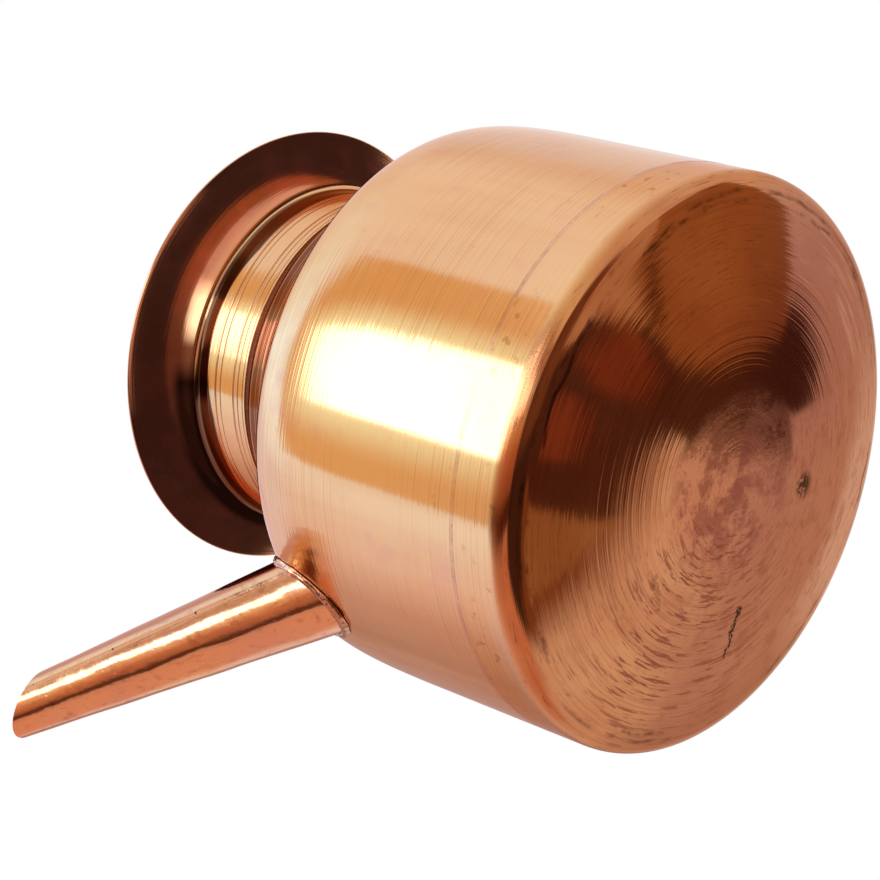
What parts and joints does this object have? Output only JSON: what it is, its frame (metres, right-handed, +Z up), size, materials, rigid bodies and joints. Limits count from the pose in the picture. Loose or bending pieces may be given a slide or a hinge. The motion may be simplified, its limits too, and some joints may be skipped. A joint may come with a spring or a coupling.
{
  "type": "copper lota with spout",
  "caption": "Small metal water pot with a near-straight belly, a rounded shoulder, a short neck with a flared mouth, and a tapered spout that climbs from the shoulder.",
  "frame": {"origin": "centre of the flat foot disc, on the pot's axis", "axes": "+Z up the pot's axis to its mouth, +X towards the spout, right-handed"},
  "size_m": [0.1593, 0.1104, 0.1179],
  "materials": {
    "base_copper": "spun and polished copper, with fine spin grooves, tarnish stains and pits",
    "belly_copper": "polished copper with fine spin grooves",
    "neck_copper": "polished copper with tool lines",
    "spout_copper": "hand-hammered and polished copper",
    "seam_braze": "dressed braze, pinkish and a little duller",
    "spout_braze": "rough braze"
  },
  "bodies": {
    "root": {"base_cup": "base_copper", "belly_shell": "belly_copper", "neck_rim": "neck_copper", "spout_tube": "spout_copper", "base_seam_braze": "seam_braze", "neck_seam_braze": "seam_braze", "spout_seam_braze": "spout_braze", "spout_root_braze": "spout_braze"}
  },
  "joints": []
}
